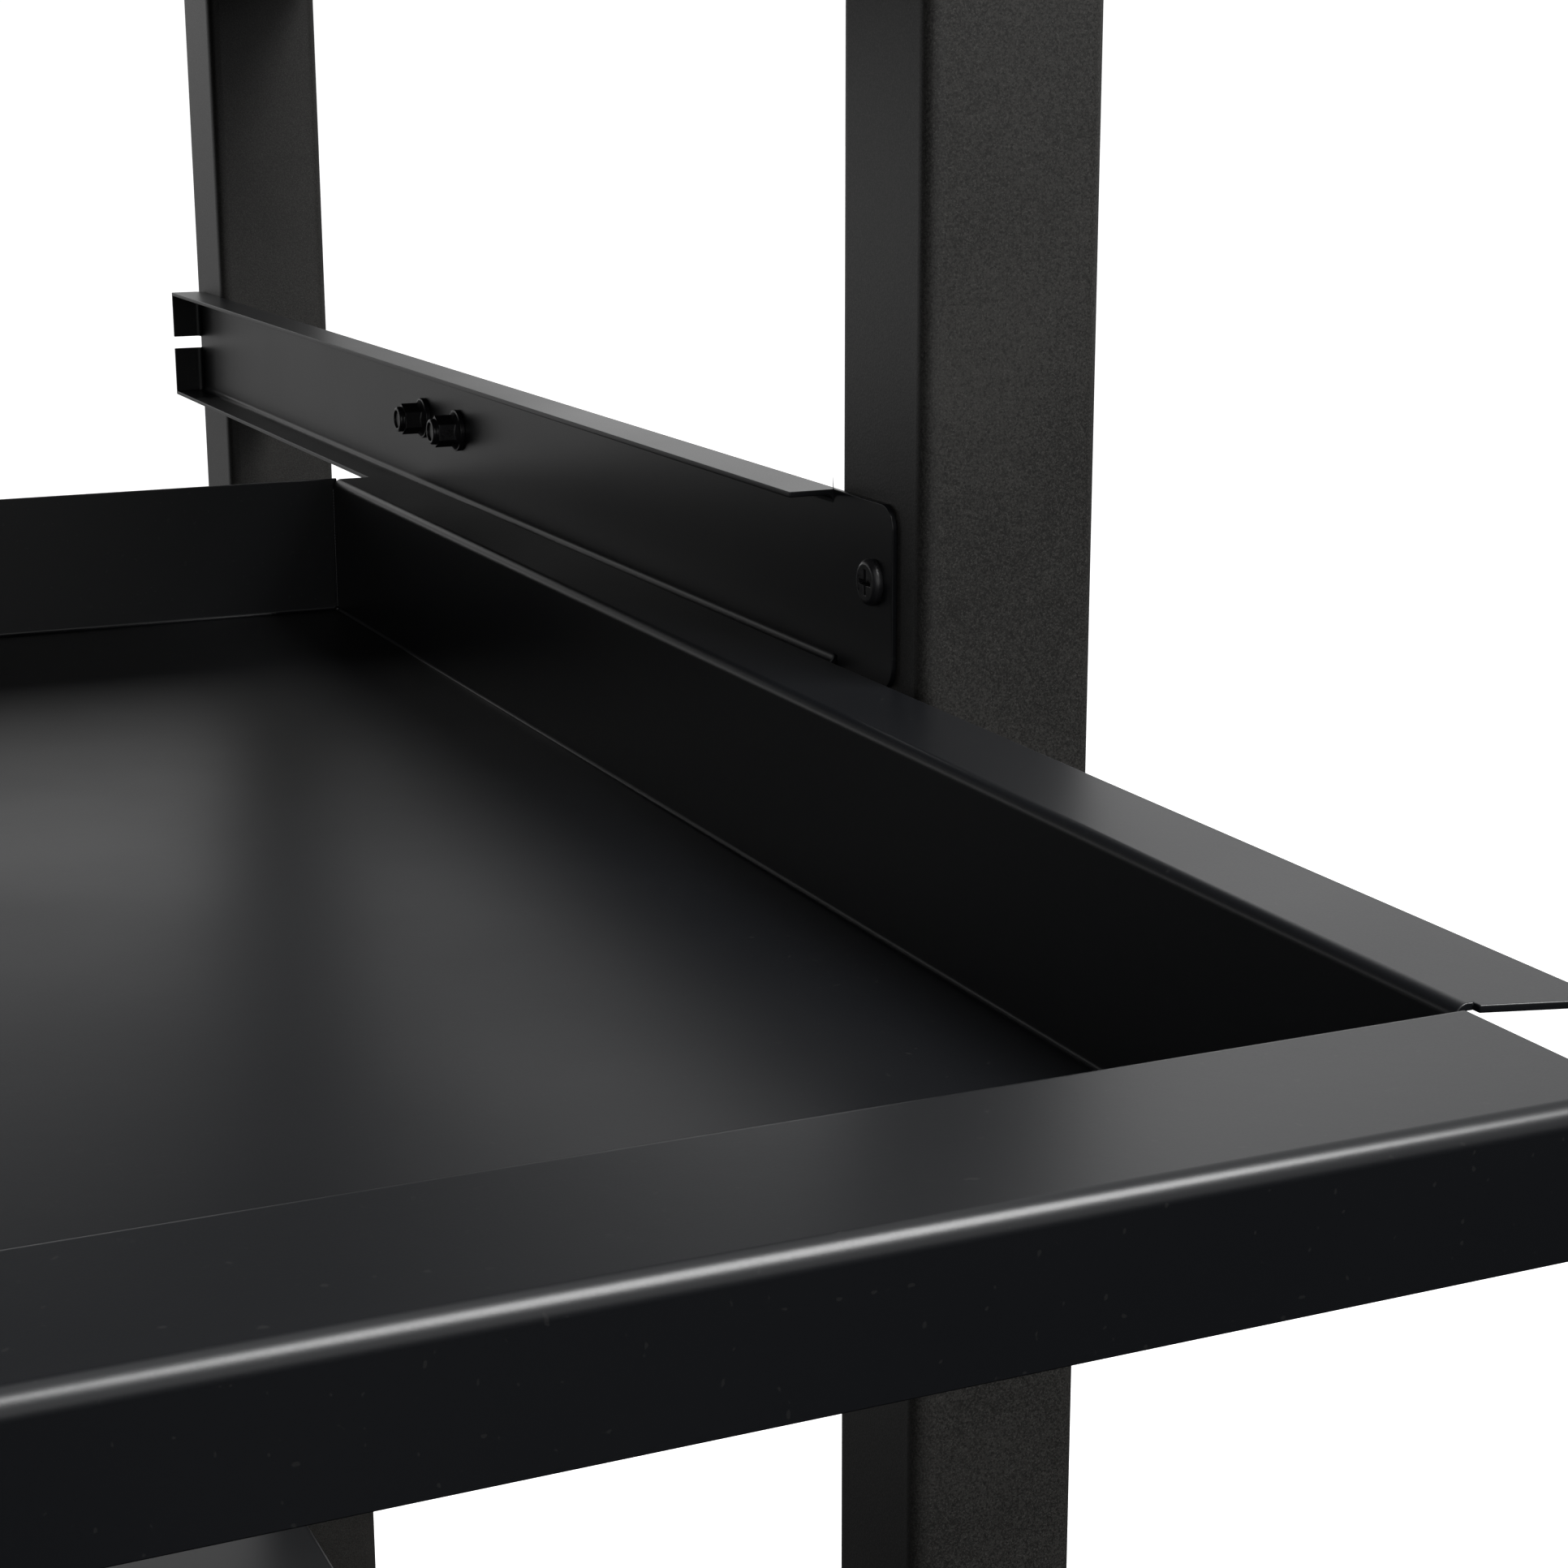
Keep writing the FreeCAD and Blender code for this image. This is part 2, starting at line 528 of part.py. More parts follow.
# ---------------------------------------------------------------- fasteners and brackets
def bind(item, **properties):
    """Bind properties of a Part object to expressions."""
    for name, text in properties.items():
        item.setExpression(name, bound(text))
    return item


def cylinder(name, width, height, level="0"):
    """An upright cylinder at a level."""
    item = bind(doc.addObject("Part::Cylinder", name), Radius=f"( {width} ) / 2", Height=height)
    item.setExpression("Placement.Base.z", bound(level))
    return item


def block(name, length, width, height, level):
    """A block centred on the Z axis."""
    item = bind(doc.addObject("Part::Box", name), Length=length, Width=width, Height=height)
    item.setExpression("Placement.Base.x", bound(f"-1 * ( {length} ) / 2"))
    item.setExpression("Placement.Base.y", bound(f"-1 * ( {width} ) / 2"))
    item.setExpression("Placement.Base.z", bound(level))
    return item


def joined(name, *items):
    """Several Part objects fused into one solid."""
    item = doc.addObject("Part::MultiFuse", name)
    item.Shapes = list(items)
    item.Refine = True
    return item


def cut_from(name, base, tool):
    """One Part object with another taken away."""
    item = doc.addObject("Part::Cut", name)
    item.Base = base
    item.Tool = tool
    return item


def domed(name, base, level, radius):
    """Round the circular edge of a cylinder at one level; the radius is read from the sheet."""
    doc.recompute()
    item = doc.addObject("Part::Fillet", name)
    item.Base = base
    at_level = [number for number, edge in enumerate(base.Shape.Edges, start=1)
                if len(edge.Vertexes) == 1 and abs(edge.Vertexes[0].Z - value(level)) < 0.01]
    item.Edges = [(number, value(radius), value(radius)) for number in at_level]
    return item


def cross_screw(name, head_width, head_height, dome, shank, length):
    """A pan-head screw with a cross recess: head above Z 0, shank below."""
    head = domed(f"{name}_head", cylinder(f"{name}_blank", head_width, head_height), head_height, dome)
    stem = cylinder(f"{name}_shank", shank, length, f"-1 * ( {length} )")
    solid = joined(f"{name}_solid", head, stem)
    floor = f"{head_height} - recess_depth"
    arms = [block(f"{name}_arm_{word}", span, width, "recess_depth", floor)
            for word, span, width in (("along", "recess_span", "recess_arm"),
                                      ("across", "recess_arm", "recess_span"))]
    return cut_from(f"{name}_piece", solid, joined(f"{name}_recess", *arms))


def lock_nut(name):
    """A flange lock nut on the Z axis, its flange at Z 0, bored for the bolt."""
    flange = cylinder(f"{name}_flange", "nut_flange_width", "nut_flange_height")
    cone = bind(doc.addObject("Part::Cone", f"{name}_cone"), Radius1="0.46 * nut_flange_width",
                Radius2="nut_hex / 2", Height="nut_cone_height")
    cone.setExpression("Placement.Base.z", bound("nut_flange_height"))
    hexagon = bind(doc.addObject("Part::Prism", f"{name}_hexagon"), Circumradius="nut_hex / sqrt(3)",
                   Height="nut_hex_height - nut_flange_height")
    hexagon.Polygon = 6
    hexagon.setExpression("Placement.Base.z", bound("nut_flange_height"))
    collar = domed(f"{name}_collar",
                   cylinder(f"{name}_collar_blank", "nut_collar_width",
                            "nut_collar_height + nut_hex_height", "0"),
                   "nut_collar_height + nut_hex_height", "nut_flange_height / 2")
    solid = joined(f"{name}_solid", flange, cone, hexagon, collar)
    hole = cylinder(f"{name}_hole", "screw_shank + 2 * fit_gap",
                    "nut_collar_height + nut_hex_height")
    return cut_from(f"{name}_piece", solid, hole)


def rivet_nut(name):
    """A rivet nut whose mouth is at Z 0, flush with the tube's face, its barrel inside the tube."""
    barrel = cylinder(f"{name}_barrel", "insert_body_width", "insert_length")
    bulge = cylinder(f"{name}_bulge", "insert_bulge_width", "insert_bulge_height", "tube_wall")
    bore = cylinder(f"{name}_bore", "screw_shank + 2 * fit_gap", "insert_length")
    return cut_from(f"{name}_piece", joined(f"{name}_solid", barrel, bulge), bore)


def button_bolt(name):
    """A button-head bolt with a hexagon socket: head above Z 0, shank below."""
    head = domed(f"{name}_head", cylinder(f"{name}_blank", "bolt_head_width", "bolt_head_height"),
                 "bolt_head_height", "bolt_head_dome")
    length = "side_rail_width + sheet + bolt_projection"
    stem = cylinder(f"{name}_shank", "screw_shank", length, f"-1 * ( {length} )")
    socket = bind(doc.addObject("Part::Prism", f"{name}_socket"), Circumradius="bolt_socket / sqrt(3)",
                  Height="bolt_head_height / 2")
    socket.Polygon = 6
    socket.setExpression("Placement.Base.z", bound("bolt_head_height / 2"))
    return cut_from(f"{name}_piece", joined(f"{name}_solid", head, stem), socket)


def frame_screw(name):
    """The M5 pan-head screw that holds a runner or the shelf to a leg."""
    return cross_screw(name, "pan_head_width", "pan_head_height", "pan_head_dome",
                       "screw_shank", "frame_screw_length")


def board_screw(name):
    """The small screw from a bracket into the desktop board."""
    return cross_screw(name, "small_head_width", "small_head_height", "small_head_dome",
                       "wood_screw_shank", "wood_screw_length")


def rail_screw(name):
    """The small screw from a bracket into a top rail."""
    return cross_screw(name, "small_head_width", "small_head_height", "small_head_dome",
                       "wood_screw_shank", "rail_screw_length")


def bracket(name):
    """An angle with its outer corner at Y 0, Z 0: one leg along +Y, the other along -Z."""
    plates = []
    for word, depth, height in (("flat", "bracket_leg", "bracket_sheet"),
                                ("upright", "bracket_sheet", "bracket_leg")):
        plate = block(f"{name}_{word}", "bracket_width", depth, height, f"-1 * {height}")
        plate.setExpression("Placement.Base.y", "0")
        plates.append(plate)
    upright_hole = cylinder(f"{name}_upright_hole", "wood_screw_shank + 2 * fit_gap", "bracket_leg")
    upright_hole.Placement = Placement(Vector(), Rotation(Vector(0, 0, 1), Vector(0, 1, 0)))
    upright_hole.setExpression("Placement.Base.z", bound(f"-1 * ( {BRACKET_MIDDLE} )"))
    flat_hole = cylinder(f"{name}_flat_hole", "wood_screw_shank + 2 * fit_gap", "bracket_leg",
                         "-1 * bracket_leg / 2")
    flat_hole.setExpression("Placement.Base.y", bound(BRACKET_MIDDLE))
    holes = joined(f"{name}_holes", upright_hole, flat_hole)
    return cut_from(f"{name}_piece", joined(f"{name}_angle", *plates), holes)


def pointing(x, y, z):
    """The rotation that turns a piece's own Z axis to a direction."""
    return Rotation(Vector(0, 0, 1), Vector(x, y, z))


def group(name, make, spots):
    """One node of identical pieces; a spot is x, y and z expressions and a rotation."""
    members = []
    for number, (x, y, z, rotation) in enumerate(spots, start=1):
        member = make(f"{name}_{number}")
        member.Placement = Placement(Vector(), rotation)
        member.setExpression("Placement.Base.x", bound(x))
        member.setExpression("Placement.Base.y", bound(y))
        member.setExpression("Placement.Base.z", bound(z))
        members.append(member)
    compound = doc.addObject("Part::Compound", name)
    compound.Links = members
    place(compound)


SIDES = (LEFT, RIGHT)
RUNNER_HARDWARE = f"{RUNNER_LEVEL} + hardware_level"
SHELF_HARDWARE = "shelf_level - shelf_flange / 2"
LEG_MIDDLES = ("leg_width / 2", "frame_depth - leg_width / 2")
SHEET_FACE = f"{HALF_GAP} - sheet"
RAIL_FACE = f"{HALF_GAP} + side_rail_width"

group("runner_screws", frame_screw,
      [(side_x(side, SHEET_FACE), "runner_screw_depth", RUNNER_HARDWARE, pointing(-side, 0, 0))
       for side in SIDES])
group("runner_rivet_nuts", rivet_nut,
      [(side_x(side, HALF_GAP), "runner_screw_depth", RUNNER_HARDWARE, pointing(side, 0, 0))
       for side in SIDES])
group("runner_bolts", button_bolt,
      [(side_x(side, RAIL_FACE), y, RUNNER_HARDWARE, pointing(side, 0, 0))
       for side in SIDES for y in BOLT_YS])
group("runner_lock_nuts", lock_nut,
      [(side_x(side, SHEET_FACE), y, RUNNER_HARDWARE, pointing(-side, 0, 0))
       for side in SIDES for y in BOLT_YS])
group("shelf_screws", frame_screw,
      [(side_x(side, SHEET_FACE), y, SHELF_HARDWARE, pointing(-side, 0, 0))
       for side in SIDES for y in LEG_MIDDLES])
group("shelf_rivet_nuts", rivet_nut,
      [(side_x(side, HALF_GAP), y, SHELF_HARDWARE, pointing(side, 0, 0))
       for side in SIDES for y in LEG_MIDDLES])

BRACKET_ENDS = (("leg_width", 1, 0), (REAR_LEG, -1, 180))
UNDER_BRACKET = "frame_top - bracket_sheet"
group("desktop_brackets", bracket,
      [(x, face, "frame_top", Rotation(Vector(0, 0, 1), turn))
       for face, way, turn in BRACKET_ENDS for x in BRACKET_X])
group("desktop_board_screws", board_screw,
      [(x, y, UNDER_BRACKET, pointing(0, 0, -1)) for y in BRACKET_YS for x in BRACKET_X])
group("desktop_rail_screws", rail_screw,
      [(x, f"{face} + {way} * bracket_sheet", RAIL_HOLE_LEVEL, pointing(0, way, 0))
       for face, way, turn in BRACKET_ENDS for x in BRACKET_X])


# ---------------------------------------------------------------- checks and files
def check_and_export():
    """Stop on any failed object or bad shape, then write one STEP file for each piece."""
    doc.recompute()
    failed = [item.Name for item in doc.Objects
              if any(word in item.State for word in ("Invalid", "Error"))]
    bad = [piece.Label for piece in pieces
           if piece.Shape.isNull() or not piece.Shape.isValid() or not piece.Shape.Solids]
    if failed or bad:
        raise RuntimeError(f"failed objects {failed}, bad shapes {bad}")
    os.makedirs("parts", exist_ok=True)
    for piece in pieces:
        piece.Shape.exportStep(f"parts/{piece.Label}.step")
        box = piece.Shape.BoundBox
        print(f"{piece.Label:24s} solids {len(piece.Shape.Solids):2d}  volume {piece.Shape.Volume:12.1f}"
              f"  x {box.XMin:8.2f} {box.XMax:8.2f}  y {box.YMin:8.2f} {box.YMax:8.2f}"
              f"  z {box.ZMin:8.2f} {box.ZMax:8.2f}")


check_and_export()
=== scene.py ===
"""Looks of the steel computer desk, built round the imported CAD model.

Metres, in the model's own frame: +Z up, +X to the user's right, -Y towards the user, the floor
at Z 0.  The tubes, the desktop and the rivet nuts stay as they are in CAD.  Folded sheet parts, caps
and fasteners are rebuilt from their CAD shapes with eased edges, and weld seams are added where
tubes and folded walls meet.
"""
import math

import bmesh
import bpy
from mathutils import Matrix, Vector


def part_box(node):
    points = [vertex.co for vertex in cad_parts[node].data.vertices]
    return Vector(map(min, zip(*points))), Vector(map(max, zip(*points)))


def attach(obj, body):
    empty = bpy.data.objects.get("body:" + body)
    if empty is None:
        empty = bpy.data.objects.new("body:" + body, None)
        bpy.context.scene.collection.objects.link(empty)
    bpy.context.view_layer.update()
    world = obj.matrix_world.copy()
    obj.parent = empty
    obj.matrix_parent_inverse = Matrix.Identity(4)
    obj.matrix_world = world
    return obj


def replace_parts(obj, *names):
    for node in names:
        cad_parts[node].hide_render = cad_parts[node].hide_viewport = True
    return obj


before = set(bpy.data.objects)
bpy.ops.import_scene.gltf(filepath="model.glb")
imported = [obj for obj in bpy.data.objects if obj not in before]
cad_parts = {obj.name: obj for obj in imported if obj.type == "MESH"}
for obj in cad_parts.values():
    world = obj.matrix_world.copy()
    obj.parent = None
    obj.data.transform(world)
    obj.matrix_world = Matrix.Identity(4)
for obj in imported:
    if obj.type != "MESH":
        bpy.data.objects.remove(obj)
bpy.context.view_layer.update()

MM = 0.001
LEFT, RIGHT = -1, 1

FRAME_SLOT = "frame_powder_coat"
SHEET_SLOT = "sheet_powder_coat"
LAMINATE_SLOT = "desktop_laminate"
EDGE_SLOT = "desktop_edge"
FOOT_SLOT = "foot_plastic"
FASTENER_SLOT = "black_fasteners"
INSERT_SLOT = "zinc_inserts"


# ---------------------------------------------------------------- node recipes
def add_node(tree, kind, settings=None, inputs=()):
    """A node with its settings; inputs pairs each socket with a number or another node's output."""
    made = tree.nodes.new(kind)
    for key, given in (settings or {}).items():
        setattr(made, key, given)
    for key, given in inputs:
        if isinstance(given, bpy.types.NodeSocket):
            tree.links.new(given, made.inputs[key])
        else:
            made.inputs[key].default_value = given
    return made


class Recipe:
    """Builds one procedural material; every texture reads object coordinates, in metres."""

    def __init__(self, name):
        self.material = bpy.data.materials.new(name)
        self.material.use_nodes = True
        self.tree = self.material.node_tree
        self.shader = self.tree.nodes["Principled BSDF"]
        self.place = self.tree.nodes.new("ShaderNodeTexCoord").outputs["Object"]

    def node(self, kind, settings=None, **inputs):
        """A node whose inputs are given by name, or by number after an underscore."""
        pairs = [(int(key[1:]) if key[0] == "_" else key.replace("_", " "), given)
                 for key, given in inputs.items()]
        return add_node(self.tree, kind, settings, pairs)

    def stretched(self, x, y, z):
        """The coordinates scaled by different amounts along X, Y and Z."""
        return self.node("ShaderNodeMapping", Vector=self.place, Scale=(x, y, z)).outputs[0]

    def noise(self, scale, detail=2.0, roughness=0.5, place=None):
        """Noise from 0 to 1; scale is waves per metre."""
        return self.node("ShaderNodeTexNoise", Vector=place or self.place, Scale=scale,
                         Detail=detail, Roughness=roughness).outputs["Fac"]

    def pebbles(self, scale):
        """Rounded cells, low in their middles; scale is cells per metre."""
        return self.node("ShaderNodeTexVoronoi", {"feature": "SMOOTH_F1"}, Vector=self.place,
                         Scale=scale).outputs["Distance"]

    def levels(self, source, low, high, to_low=0.0, to_high=1.0):
        """Maps low..high to to_low..to_high with soft ends."""
        return self.node("ShaderNodeMapRange", {"interpolation_type": "SMOOTHSTEP"}, Value=source,
                         From_Min=low, From_Max=high, To_Min=to_low, To_Max=to_high).outputs[0]

    def math(self, operation, first, second):
        """One Math node."""
        return self.node("ShaderNodeMath", {"operation": operation}, _0=first, _1=second).outputs[0]

    def blend(self, share, low, high):
        """A colour between two colours."""
        return self.node("ShaderNodeMix", {"data_type": "RGBA"}, _0=share, _6=(*low, 1.0),
                         _7=(*high, 1.0)).outputs[2]

    def dusted(self, base, specks, share, tint):
        """The base colour with a share of another colour where the specks are."""
        return self.node("ShaderNodeMix", {"data_type": "RGBA"}, _0=self.math("MULTIPLY", specks, share),
                         _6=base, _7=(*tint, 1.0)).outputs[2]

    def darken(self, colour, amount):
        """A colour multiplied by a grey amount."""
        return self.node("ShaderNodeMix", {"data_type": "RGBA", "blend_type": "MULTIPLY"}, _0=1.0,
                         _6=colour, _7=amount).outputs[2]

    def bump(self, height, strength, distance, below=None):
        """A bump of one height field, on top of another bump if one is given."""
        made = self.node("ShaderNodeBump", Height=height, Strength=strength, Distance=distance)
        if below is not None:
            self.tree.links.new(below, made.inputs["Normal"])
        return made.outputs[0]

    def finish(self, colour, roughness, normal, **constants):
        """Connects the varying inputs and sets the constant ones on the shader itself."""
        for key, source in (("Base Color", colour), ("Roughness", roughness), ("Normal", normal)):
            self.tree.links.new(source, self.shader.inputs[key])
        for key, number in constants.items():
            self.shader.inputs[key.replace("_", " ")].default_value = number
        return self.material


def textured_powder_coat():
    """Warm dark grey powder coat: salt-and-pepper grain of 0.3 to 0.5 mm, hardly raised."""
    recipe = Recipe("textured powder coat")
    grain = recipe.noise(2100, detail=3, roughness=0.7)
    pebbles = recipe.pebbles(1900)
    flecks = recipe.levels(recipe.noise(3600, detail=1), 0.56, 0.74)
    drifts = recipe.noise(22, detail=3)
    shade = recipe.levels(recipe.math("ADD", grain, recipe.math("MULTIPLY", drifts, 0.3)), 0.5, 0.8)
    base = recipe.blend(shade, (0.0088, 0.0085, 0.0079), (0.031, 0.03, 0.028))
    colour = recipe.dusted(base, flecks, 0.45, (0.085, 0.083, 0.079))
    roughness = recipe.levels(flecks, 0, 1, 0.42, 0.32)
    coarse = recipe.bump(pebbles, 0.2, 0.08 * MM)
    normal = recipe.bump(grain, 0.3, 0.06 * MM, below=coarse)
    return recipe.finish(colour, roughness, normal, IOR=1.5)


def satin_powder_coat():
    """Smooth blue-black powder coat with a faint orange peel and a dusting of fine grain."""
    recipe = Recipe("satin powder coat")
    peel = recipe.noise(230, detail=2)
    fine = recipe.noise(2600, detail=1)
    drifts = recipe.noise(9, detail=3)
    specks = recipe.levels(recipe.noise(900, detail=0), 0.79, 0.84)
    base = recipe.blend(drifts, (0.0052, 0.0058, 0.0072), (0.0072, 0.0078, 0.0092))
    colour = recipe.dusted(base, specks, 0.5, (0.022, 0.022, 0.022))
    roughness = recipe.levels(recipe.math("ADD", drifts, recipe.math("MULTIPLY", fine, 0.4)), 0.4, 1.0,
                              0.3, 0.37)
    waves = recipe.bump(peel, 0.1, 0.12 * MM)
    normal = recipe.bump(fine, 0.12, 0.03 * MM, below=waves)
    return recipe.finish(colour, roughness, normal, IOR=1.5)


def wood_laminate():
    """Black-stained wood-grain laminate: long fibres along X, dark pores and a low sheen."""
    recipe = Recipe("wood-grain laminate")
    bands = recipe.noise(1.0, detail=4, roughness=0.55, place=recipe.stretched(1.6, 26, 26))
    fibres = recipe.noise(1.0, detail=5, roughness=0.7, place=recipe.stretched(9, 420, 420))
    pores = recipe.levels(recipe.noise(1.0, detail=2, place=recipe.stretched(70, 1500, 1500)), 0.62, 0.72)
    mixed = recipe.math("ADD", recipe.math("MULTIPLY", bands, 0.6), recipe.math("MULTIPLY", fibres, 0.4))
    base = recipe.blend(recipe.levels(mixed, 0.35, 0.65), (0.014, 0.0115, 0.0095), (0.036, 0.03, 0.025))
    colour = recipe.darken(base, recipe.levels(pores, 0, 1, 1.0, 0.45))
    roughness = recipe.levels(fibres, 0.3, 0.7, 0.46, 0.58)
    grooves = recipe.bump(pores, 0.5, -0.08 * MM)
    normal = recipe.bump(fibres, 0.25, 0.05 * MM, below=grooves)
    return recipe.finish(colour, roughness, normal, IOR=1.5)


def edge_band_plastic():
    """Black edge banding: fine brushed lines along it and a low satin sheen."""
    recipe = Recipe("edge band plastic")
    lines = recipe.noise(1.0, detail=3, place=recipe.stretched(14, 14, 1300))
    base = recipe.blend(lines, (0.012, 0.011, 0.0105), (0.022, 0.0205, 0.019))
    roughness = recipe.levels(lines, 0.3, 0.7, 0.4, 0.52)
    return recipe.finish(base, roughness, recipe.bump(lines, 0.25, 0.04 * MM), IOR=1.5)


def moulded_plastic():
    """Black moulded plastic with a fine spark-eroded grain."""
    recipe = Recipe("moulded plastic")
    grain = recipe.noise(1900, detail=2)
    drifts = recipe.noise(30, detail=2)
    base = recipe.blend(drifts, (0.009, 0.009, 0.0092), (0.016, 0.016, 0.0165))
    roughness = recipe.levels(grain, 0.3, 0.7, 0.46, 0.6)
    return recipe.finish(base, roughness, recipe.bump(grain, 0.4, 0.06 * MM), IOR=1.48)


def black_zinc():
    """Black zinc on fasteners: dark metal sheen with patchy roughness and tiny worn spots."""
    recipe = Recipe("black zinc")
    patches = recipe.noise(420, detail=4, roughness=0.6)
    worn = recipe.levels(recipe.noise(1500, detail=2), 0.66, 0.8)
    base = recipe.blend(patches, (0.008, 0.008, 0.009), (0.018, 0.018, 0.02))
    colour = recipe.dusted(base, worn, 0.4, (0.06, 0.06, 0.062))
    roughness = recipe.levels(patches, 0.3, 0.7, 0.26, 0.4)
    return recipe.finish(colour, roughness, recipe.bump(patches, 0.15, 0.05 * MM), IOR=1.6)


def zinc_plate():
    """Bright zinc plating with a soft spangle."""
    recipe = Recipe("zinc plate")
    spangle = recipe.noise(700, detail=3)
    base = recipe.blend(spangle, (0.42, 0.42, 0.4), (0.62, 0.62, 0.58))
    roughness = recipe.levels(spangle, 0.3, 0.7, 0.28, 0.45)
    return recipe.finish(base, roughness, recipe.bump(spangle, 0.1, 0.05 * MM), Metallic=1.0)


FINISHES = {
    FRAME_SLOT: textured_powder_coat(),
    SHEET_SLOT: satin_powder_coat(),
    LAMINATE_SLOT: wood_laminate(),
    EDGE_SLOT: edge_band_plastic(),
    FOOT_SLOT: moulded_plastic(),
    FASTENER_SLOT: black_zinc(),
    INSERT_SLOT: zinc_plate(),
}


# ---------------------------------------------------------------- pieces from CAD shapes
SAME_POINT = 0.002 * MM
FLAT_ANGLE = math.radians(0.3)
SHARP_ANGLE = math.radians(38)
EDGE_STEPS = 2
EDGE_PROFILE = 0.6      # 0.5 is round, 1 is square

# How far each kind of edge is eased.
SHEET_EDGE = 0.22 * MM
BRACKET_EDGE = 0.3 * MM
CAP_EDGE = 0.5 * MM
SCREW_EDGE = 0.12 * MM
NUT_EDGE = 0.2 * MM


def paint(piece, slot):
    """Gives a piece the finish for its slot."""
    piece.data.materials.clear()
    piece.data.materials.append(FINISHES[slot])
    return piece


def shape_of(node):
    """A clean bmesh of a CAD node: joined corners, and one face for each flat side."""
    shape = bmesh.new()
    shape.from_mesh(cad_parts[node].data)
    bmesh.ops.remove_doubles(shape, verts=shape.verts, dist=SAME_POINT)
    bmesh.ops.dissolve_limit(shape, angle_limit=FLAT_ANGLE, verts=shape.verts, edges=shape.edges)
    bmesh.ops.recalc_face_normals(shape, faces=shape.faces)
    return shape


def new_piece(name, shape, slot, body, smooth_angle=SHARP_ANGLE):
    """An object from a bmesh, smooth across shallow angles, riding on its body."""
    mesh = bpy.data.meshes.new(name)
    shape.to_mesh(mesh)
    shape.free()
    mesh.shade_smooth()
    mesh.set_sharp_from_angle(angle=smooth_angle)
    piece = bpy.data.objects.new(name, mesh)
    bpy.context.scene.collection.objects.link(piece)
    evened = piece.modifiers.new("even_normals", "WEIGHTED_NORMAL")
    evened.keep_sharp = True
    paint(piece, slot)
    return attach(piece, body)


def eased(node, slot, radius, body="frame"):
    """A CAD node rebuilt with its sharp edges rounded, standing for that node."""
    shape = shape_of(node)
    sharp = [edge for edge in shape.edges
             if len(edge.link_faces) == 2 and edge.calc_face_angle(0) > SHARP_ANGLE]
    bmesh.ops.bevel(shape, geom=sharp, offset=radius, offset_type="OFFSET", segments=EDGE_STEPS,
                    profile=EDGE_PROFILE, affect="EDGES", clamp_overlap=False)
    piece = new_piece(f"{node}_eased", shape, slot, body)
    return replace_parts(piece, node)


TUBES = [f"leg_{end}_{side}" for end in ("front", "rear") for side in ("left", "right")]
TUBES += [f"top_rail_{place}" for place in ("front", "rear", "left", "right")]
TUBES += [f"side_rail_{side}" for side in ("left", "right")]
for name in TUBES:
    paint(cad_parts[name], FRAME_SLOT)
paint(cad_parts["desktop_board"], LAMINATE_SLOT)
paint(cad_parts["desktop_edge_band"], EDGE_SLOT)
for name in ("runner_rivet_nuts", "shelf_rivet_nuts"):
    paint(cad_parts[name], INSERT_SLOT)

eased("keyboard_tray", SHEET_SLOT, SHEET_EDGE, body="tray")
eased("lower_shelf", SHEET_SLOT, SHEET_EDGE)
for side in ("left", "right"):
    eased(f"runner_{side}", SHEET_SLOT, SHEET_EDGE)
eased("desktop_brackets", SHEET_SLOT, BRACKET_EDGE)
for end in ("front", "rear"):
    for side in ("left", "right"):
        eased(f"foot_cap_{end}_{side}", FOOT_SLOT, CAP_EDGE)
for name in ("runner_screws", "shelf_screws", "desktop_board_screws", "desktop_rail_screws"):
    eased(name, FASTENER_SLOT, SCREW_EDGE)
for name in ("runner_lock_nuts", "runner_bolts"):
    eased(name, FASTENER_SLOT, NUT_EDGE)


# Where the right-hand tubes and the tray lie, each as its low and its high corner.
leg_low, leg_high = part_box("leg_front_right")
tray_low, tray_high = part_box("keyboard_tray")
rear_leg_low, rear_leg_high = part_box("leg_rear_right")
top_rail_low, top_rail_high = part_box("top_rail_right")
side_rail_low, side_rail_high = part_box("side_rail_right")


# ---------------------------------------------------------------- weld seams
BEAD_SIDES = 10
BEAD_SMOOTH_ANGLE = math.radians(80)
STEPS_PER_RIPPLE = 5
FEWEST_STEPS = 8
RIPPLE_SWELL = 0.1      # a ripple's height, as a share of the bead's radius
BEAD_TIP = 0.2          # the bead's end, as a share of its radius

FRAME_BEAD = 2.0 * MM
FRAME_RIPPLE = 1.7 * MM
SEAM_INSET = 4 * MM     # from a tube's edge to the end of a seam across it
SEAM_SUNK = 1.6 * MM    # from a tube's face to the middle of a seam along its edge

TRAY_BEAD = 0.35 * MM
TRAY_RIPPLE = 0.9 * MM
TRAY_BLOB = 1.1 * MM

# The pan's inside corners, from the tray's box.
SIDE_FLANGE = 20.5 * MM
FRONT_FLANGE = 38 * MM
SHEET = 1.2 * MM
FOLD_HEIGHT = 3.0 * MM
BLOB_LIFT = 0.2 * MM
PAN_SIDE = tray_high.x - SIDE_FLANGE
PAN_ENDS = (tray_low.y + FRONT_FLANGE, tray_high.y - SHEET)
PAN_FLOOR = tray_low.z + (SHEET + BLOB_LIFT)
PAN_TOP = tray_high.z - FOLD_HEIGHT


